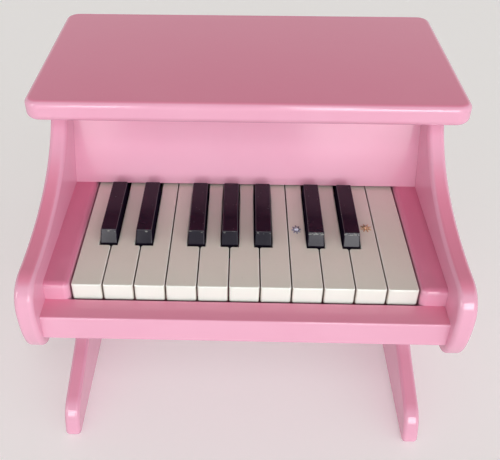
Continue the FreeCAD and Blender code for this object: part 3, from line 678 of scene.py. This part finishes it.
print(grain_group.name, [socket.name for socket in grain_group.interface.items_tree])

# %% [markdown]
# ### Dressing the inside
# The stretch is in lumps per metre along X, Y and Z. A low number means long streaks that way:
# along the rails for wood, and along each rod for steel. Equal numbers give a skin with no grain.

# %% Inner finishes
STEEL = {"light": (0.62, 0.62, 0.63), "dark": (0.50, 0.50, 0.51), "rough": 0.16, "metal": 1.0,
         "strength": 0.05}
wood = grained("bare_wood_grain", stretch=(14.0, 240.0, 240.0), light=(0.74, 0.57, 0.37),
               dark=(0.58, 0.40, 0.23), rough=0.55)
steel = grained("drawn_steel", stretch=(30.0, 900.0, 900.0), **STEEL)
rod_steel = grained("upright_steel", stretch=(900.0, 900.0, 30.0), **STEEL)
zinc = grained("zinc_plate", stretch=(700.0, 700.0, 700.0), light=(0.62, 0.61, 0.57),
               dark=(0.46, 0.45, 0.43), rough=0.28, metal=1.0, strength=0.1)
casting = grained("cast_skin", stretch=(420.0, 420.0, 420.0), light=(0.22, 0.22, 0.23),
                  dark=(0.13, 0.13, 0.14), rough=0.55, strength=0.5)
plastic = grained("moulded_plastic", stretch=(160.0, 160.0, 160.0), light=(0.76, 0.73, 0.67),
                  dark=(0.70, 0.66, 0.60), rough=0.38, strength=0.1)

dress(["key_balance_rail", "tail_rest_rail", "hammer_rail", "top_board_dowels",
       "front_rail_dowels"], wood)
dress(["key_pivot_rod", "hammer_pivot_rod"], steel)
dress(["tone_rods"], rod_steel)
dress(["tone_block"], casting)
dress(sorted(name for name in nodes if name.startswith("hammer_") and name[-2:].isdigit()),
      plastic)

# %% [markdown]
# ## From numbers to a mesh
# Every new piece below is a stack of rings: a closed outline, changed step by step. The rings are
# one numpy array of rows, points and coordinates. Quads join each ring to the next, and a fan
# closes each end, so that the skin has no hole. Faces are listed so that they look outwards.


# %% Ring helpers
def ring_skin(rings):
    """Vertices and faces of a closed skin over rings of shape (rows, points, 3), with a fan at
    each end. Quad (r, c) joins ring r to ring r+1 between points c and c+1."""
    rows, points = rings.shape[:2]
    ends = rings[[0, -1]].mean(1)
    verts = np.concatenate([rings.reshape(-1, 3), ends])
    row, col = np.meshgrid(np.arange(rows - 1), np.arange(points), indexing="ij")
    here, beside = row * points + col, row * points + (col + 1) % points
    quads = np.stack([here, beside, beside + points, here + points], -1).reshape(-1, 4)
    edge = np.arange(points)
    after = (edge + 1) % points
    last = (rows - 1) * points
    first_fan = np.stack([after, edge, np.full(points, rows * points)], -1)
    last_fan = np.stack([last + edge, last + after, np.full(points, rows * points + 1)], -1)
    return verts, quads.tolist() + first_fan.tolist() + last_fan.tolist()


def make_piece(name, skins, material, body):
    """One object from one or more closed skins, riding on a body of the model."""
    verts, faces, start = [], [], 0
    for skin_verts, skin_faces in skins:
        verts.append(skin_verts)
        faces += [[index + start for index in face] for face in skin_faces]
        start += len(skin_verts)
    mesh = bpy.data.meshes.new(name)
    mesh.from_pydata(np.concatenate(verts).tolist(), [], faces)
    mesh.update()
    piece = bpy.data.objects.new(name, mesh)
    bpy.context.scene.collection.objects.link(piece)
    mesh.materials.append(material)
    mesh.shade_smooth()
    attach(piece, body)
    return piece


print("ring helpers ready")

# %% [markdown]
# ## Two stick-on sequins
# Two small sequins are stuck on beside the black keys: a silver flower and a copper star. They
# are pressed foil, so each is a thin star with a domed middle and a ridge along every ray. The
# outline is a radius that swings eight times round, and the same swing lifts the ridges. The
# heights below are shares of the radius.

# %% Sequin shape
RAYS, STAR_POINTS = 8, 128
UNDERSIDE, TOP_ROWS, TOP_END = (0.05, 0.5, 0.97), 14, 0.04
FOIL_RISE, DOME, DOME_WIDTH, RIDGE = 0.10, 0.26, 0.36, 0.12


def sequin(centre, radius, stretch, depth, sharpness, spin):
    """Rings of a pressed foil star. With swing w = ((1 + cos 8a) / 2) ** sharpness, the outline is
    radius * (1 - depth + depth * w), stretched along the key. At a share s of the outline, the top
    is at radius * (0.10 + 0.26 * exp(-(s / 0.36) ** 4) + 0.12 * w * sin(pi * s) ** 2)."""
    turn = np.linspace(0, 2 * np.pi, STAR_POINTS, endpoint=False)
    swing = ((1 + np.cos(RAYS * turn)) / 2) ** sharpness
    outline = radius * (1 - depth + depth * swing)
    shares = np.concatenate([UNDERSIDE, np.linspace(1, TOP_END, TOP_ROWS)])[:, None]
    dome = DOME * radius * np.exp(-(shares / DOME_WIDTH) ** 4)
    ridge = RIDGE * radius * swing * np.sin(np.pi * shares) ** 2
    top = FOIL_RISE * radius + dome + ridge
    height = np.where(np.arange(len(shares))[:, None] < len(UNDERSIDE), 0.0, top)
    reach = shares * outline
    return np.stack([centre[0] + reach * np.cos(turn + spin),
                     centre[1] + stretch * reach * np.sin(turn + spin), centre[2] + height], -1)


print("a sequin has", len(UNDERSIDE) + TOP_ROWS, "rings of", STAR_POINTS, "points")

# %% [markdown]
# ### Foil
# Pressed foil is full of tiny facets. Cells with a random shade each stand for one: the shade is
# a painted glint or painted shade for how that facet catches the light, and the same cells roughen
# and bump the foil. The distance from the middle tells the bright hub from the rays, and the dark
# furrow between the two. It is measured as if the star were not stretched.

# %% Foil finish
FLECK_SCALE, FACET_GLINT_SHARE = 1300.0, 0.6
FURROW, FURROW_EDGE, FURROW_SHARE = (1.9 * MM, 2.1 * MM), 0.4 * MM, 0.6
HUB_RANGE = (1.3 * MM, 1.8 * MM)
FOIL_METAL, FOIL_ROUGH, FACET_DULLS = 0.35, 0.22, 0.2


def foil(name, centre, stretch, hub, ray, shade):
    """Foil with a bright hub, rays whose small facets are painted as random glints and shade, and
    a dark furrow between.
    """
    material, tree, shader = blank_material(name, {"Metallic": FOIL_METAL})
    spot = add(tree, "ShaderNodeTexCoord").outputs
    relaxed = Vector((1, 1 / stretch, 1))
    ends = {0: stretched(tree, spot["Object"], relaxed), 1: centre * relaxed}
    reach = add(tree, "ShaderNodeVectorMath", ends, operation="DISTANCE").outputs["Value"]
    flecks = add(tree, "ShaderNodeTexVoronoi", {"Vector": spot["Object"], "Scale": FLECK_SCALE})
    facet_glint = add(tree, "ShaderNodeSeparateColor", {"Color": flecks.outputs["Color"]}).outputs[0]
    # painted glints and shade: each facet cell darkens the ray colour by a random amount
    rays = layered(tree, ray, (facet_glint, FACET_GLINT_SHARE, shade))
    star = mixed(tree, inverse(tree, rise(tree, reach, *HUB_RANGE)), rays, hub)
    furrow = between(tree, reach, FURROW, FURROW_EDGE)
    tree.links.new(layered(tree, star, (furrow, FURROW_SHARE, shade)), shader.inputs["Base Color"])
    tree.links.new(plus(tree, FOIL_ROUGH, (facet_glint, FACET_DULLS)), shader.inputs["Roughness"])
    relief(tree, shader, facet_glint, strength=0.25, distance=0.2 * MM)
    return material


print("foil finish ready")

# %% [markdown]
# ### Sticking them on
# Each sequin sits on the top of one white key and rides on that key, so it goes down with it.

# %% Place the sequins
SILVER_PLACE = KEY_EDGE + Vector((36.65, 60.7, 0)) * MM
COPPER_PLACE = KEY_EDGE + Vector((86.1, 63.6, 0)) * MM
SILVER_RADIUS, COPPER_RADIUS = 3.5 * MM, 4.3 * MM
SILVER_STRETCH, COPPER_STRETCH = 1.4, 1.1
silver_foil = foil("silver_foil", SILVER_PLACE, SILVER_STRETCH, hub=(0.90, 0.90, 1.0),
                   ray=(0.44, 0.43, 0.54), shade=(0.12, 0.11, 0.17))
copper_foil = foil("copper_foil", COPPER_PLACE, COPPER_STRETCH, hub=(1.0, 0.74, 0.56),
                   ray=(0.80, 0.50, 0.33), shade=(0.46, 0.25, 0.16))
silver_rings = sequin(SILVER_PLACE, SILVER_RADIUS, SILVER_STRETCH, depth=0.55, sharpness=0.8,
                      spin=0.12)
copper_rings = sequin(COPPER_PLACE, COPPER_RADIUS, COPPER_STRETCH, depth=0.60, sharpness=1.5,
                      spin=0.3)
make_piece("silver_sequin", [ring_skin(silver_rings)], silver_foil, "white_key_08")
make_piece("copper_sequin", [ring_skin(copper_rings)], copper_foil, "white_key_10")
print("two sequins on key tops at", round(KEY_EDGE.z, 4))

# %% [markdown]
# ## Felt and foam
# Strips of felt soften the landing of the keys, and a springy foam strip lifts them again. They
# are soft, so plain CAD blocks would look wrong. Each is a squarish outline carried along the
# keyboard, rounded at the corners and slightly uneven.

# %% Soft shape
STRIP_POINTS, SQUARENESS = 40, 6
END_ROWS, END_SHARE, ROWS_PER_WAVE = np.array([0.0, 0.004, 0.012]), 0.02, 6
SINK = 0.04


def soft_strip(low, high, bulge_share, waves):
    """Rings along X of a rounded block inside a box: y and z follow a superellipse,
    |y/a|**6 + |z/b|**6 = 1, and the top sinks by a small wave along X."""
    low, high = np.array(low), np.array(high)
    middle, half = (low + high) / 2, (high - low) / 2
    turn = np.linspace(0, 2 * np.pi, STRIP_POINTS, endpoint=False)
    across = np.sign(np.cos(turn)) * np.abs(np.cos(turn)) ** (2 / SQUARENESS)
    upward = np.sign(np.sin(turn)) * np.abs(np.sin(turn)) ** (2 / SQUARENESS)
    inner = np.linspace(END_SHARE, 1 - END_SHARE, waves * ROWS_PER_WAVE)
    share = np.concatenate([END_ROWS, inner, 1 - END_ROWS[::-1]])[:, None]
    from_end = np.minimum(share, 1 - share) / END_SHARE
    inset = 1 - bulge_share * np.clip(1 - from_end, 0, 1) ** 2
    sink = 1 - SINK * (1 + np.sin(2 * np.pi * waves * share))
    x = low[0] + 2 * half[0] * share + 0 * turn
    y = middle[1] + half[1] * inset * across
    z = low[2] + half[2] * (1 + inset * upward) * sink
    return np.stack([x, y, z], -1)


print("soft strips have rings of", STRIP_POINTS, "points")

# %% [markdown]
# ### Felt strips
# Felt and foam share one finish: a mottled colour, hardly any gloss and a strong fine relief. A
# little sheen stands for loose fibres. Each strip takes the place of its CAD block.

# %% Felt
FLUFF_RANGE, FLUFF_ROUGH, FLUFF_DULLS = (0.3, 0.7), 0.8, 0.2
FLUFF_SHEEN = {"Sheen Weight": 0.4}
FELT_BULGE, FELT_WAVES = 0.2, 9


def fibre(name, light, dark, scale):
    """Matt fluff or foam: a mottled colour with a strong fine relief."""
    material, tree, shader = blank_material(name, FLUFF_SHEEN)
    spot = add(tree, "ShaderNodeTexCoord").outputs
    fluff = noise(tree, spot["Object"], scale, detail=6.0, roughness=0.7)
    colour = mixed(tree, rise(tree, fluff, *FLUFF_RANGE), dark, light)
    tree.links.new(colour, shader.inputs["Base Color"])
    tree.links.new(plus(tree, FLUFF_ROUGH, (fluff, FLUFF_DULLS)), shader.inputs["Roughness"])
    relief(tree, shader, fluff, strength=0.8, distance=0.6 * MM)
    return material


felt = fibre("red_felt_fluff", light=(0.34, 0.06, 0.10), dark=(0.18, 0.02, 0.05), scale=1500.0)
for name in ("key_front_felt", "tail_rest_felt"):
    rings = soft_strip(*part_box(name), FELT_BULGE, FELT_WAVES)
    strip = make_piece(name + "_strip", [ring_skin(rings)], felt, "cabinet")
    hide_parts(name)
    print(strip.name, "for", name)

# %% [markdown]
# ### Foam blocks
# One foam strip would have to bend under every single key. So it is slit halfway between the
# levers, into one block for each key.

# %% Foam
SLIT = 0.3 * MM
FOAM_BULGE, FOAM_WAVES = 0.1, 1

foam = fibre("grey_foam_cells", light=(0.16, 0.16, 0.17), dark=(0.06, 0.06, 0.065), scale=900.0)
low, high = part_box("key_return_strip")
presses = sorted((joint["pos_m"][0], joint["name"]) for joint in frame["joints"]
                 if joint["name"].endswith("_press"))
lanes = np.array([x for x, name in presses])
slits = np.concatenate([[low.x], (lanes[1:] + lanes[:-1]) / 2, [high.x]])
for number, (start, end) in enumerate(zip(slits[:-1], slits[1:])):
    box = (start + SLIT / 2, low.y, low.z), (end - SLIT / 2, high.y, high.z)
    rings = soft_strip(*box, FOAM_BULGE, FOAM_WAVES)
    block = make_piece(f"foam_block_{number + 1:02d}", [ring_skin(rings)], foam, "cabinet")
    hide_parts("key_return_strip")
    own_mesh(block)
print(len(lanes), "foam blocks")

# %% [markdown]
# ## Screws with a cross recess
# The back board and the bottom board are held by countersunk screws. A CAD screw is a bare cone,
# but a real one has a cross pressed into its head. Each screw here is turned from a profile, and
# inside the head the rings sink where they fall within the arms of a cross.

# %% Screw shape
SCREW_POINTS = 64
OUTER_RADII = (0.2, 1.5, 1.5, 3.15, 3.2)
INNER_RADII = (3.05, 2.75, 2.45, 2.1, 1.75, 1.4, 1.05, 0.7, 0.35, 0.1)
TIP, CONE, BEVEL, PROUD = 2 * MM, 2.2 * MM, 0.08 * MM, 0.02 * MM
ARM_DEPTH, ARM_HALF, ARM_REACH, ARM_END = 1.1 * MM, 0.45 * MM, 2.0 * MM, 1.6


def screw_rings(head, axis, length):
    """Rings from the tip up to the middle of the head. The outside is the profile radius(depth): a
    tip, a shank and a cone to the rim. Inside the rim, the cross is 1.1 mm * (1 - (across / 0.45)
    ** 4) deep, with across in mm from the middle of an arm, and it ends where the arms do."""
    turn = np.linspace(0, 2 * np.pi, SCREW_POINTS, endpoint=False)
    radius = np.array(OUTER_RADII + INNER_RADII)[:, None] * MM
    outer_depths = [length, length - TIP, CONE, BEVEL, 0.0]
    depth = np.array(outer_depths + [-PROUD] * len(INNER_RADII))[:, None]
    flat = np.stack([radius * np.cos(turn), radius * np.sin(turn)], -1)
    across = np.minimum(np.abs(flat[..., 0]), np.abs(flat[..., 1])) / ARM_HALF
    reach = np.hypot(flat[..., 0], flat[..., 1]) / ARM_REACH
    cross = np.clip(1 - across ** 4, 0, 1) * np.clip(ARM_END - ARM_END * reach ** 3, 0, 1)
    inside = (np.arange(len(radius)) >= len(OUTER_RADII))[:, None]
    depth = depth + np.where(inside, ARM_DEPTH * cross, 0.0)
    axis = np.array(axis, float)
    side = np.cross(axis, (1.0, 0, 0))
    other = np.cross(side, axis)
    return np.array(head) + axis * depth[..., None] + side * flat[..., :1] + other * flat[..., 1:]


print("a screw has", len(OUTER_RADII + INNER_RADII), "rings of", SCREW_POINTS, "points")

# %% [markdown]
# ### Driving them in
# Every node of the model holds a whole set of screws. Their places are read off its corners, so
# each new screw sits exactly where the CAD one was.

# %% Place the screws
SCREW_GAP = 3 * MM
ROW_LIMIT = 100
SCREW_SETS = (("back_panel_screws", (0, -1, 0)), ("rail_screws", Z_AXIS),
              ("tone_block_screws", (0, 0, -1)))


def screws_of(name, along):
    """Lowest and highest corners of each screw in a node. Screws that lie along one axis are told
    apart across the other two: wherever the sorted corners jump by more than a gap, the next screw
    begins."""
    co = np.zeros(len(nodes[name].data.vertices) * 3, np.float32)
    nodes[name].data.vertices.foreach_get("co", co)
    co = co.reshape(-1, 3).astype(float)
    label = np.zeros(len(co), int)
    for across in {0, 1, 2} - {along}:
        order = np.argsort(co[:, across])
        step = np.zeros(len(co), int)
        step[order[1:]] = np.cumsum(np.diff(co[order, across]) > SCREW_GAP)
        label = label * ROW_LIMIT + step
    return [(co[label == one].min(0), co[label == one].max(0)) for one in np.unique(label)]


for name, way_in in SCREW_SETS:
    along = int(np.argmax(np.abs(way_in)))
    skins = []
    for low, high in screws_of(name, along):
        head = (low + high) / 2
        head[along] = low[along] if sum(way_in) > 0 else high[along]
        skins.append(ring_skin(screw_rings(head, way_in, high[along] - low[along])))
    screws = make_piece(name + "_crossed", skins, zinc, "cabinet")
    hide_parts(name)
    print(name, len(skins), "screws")
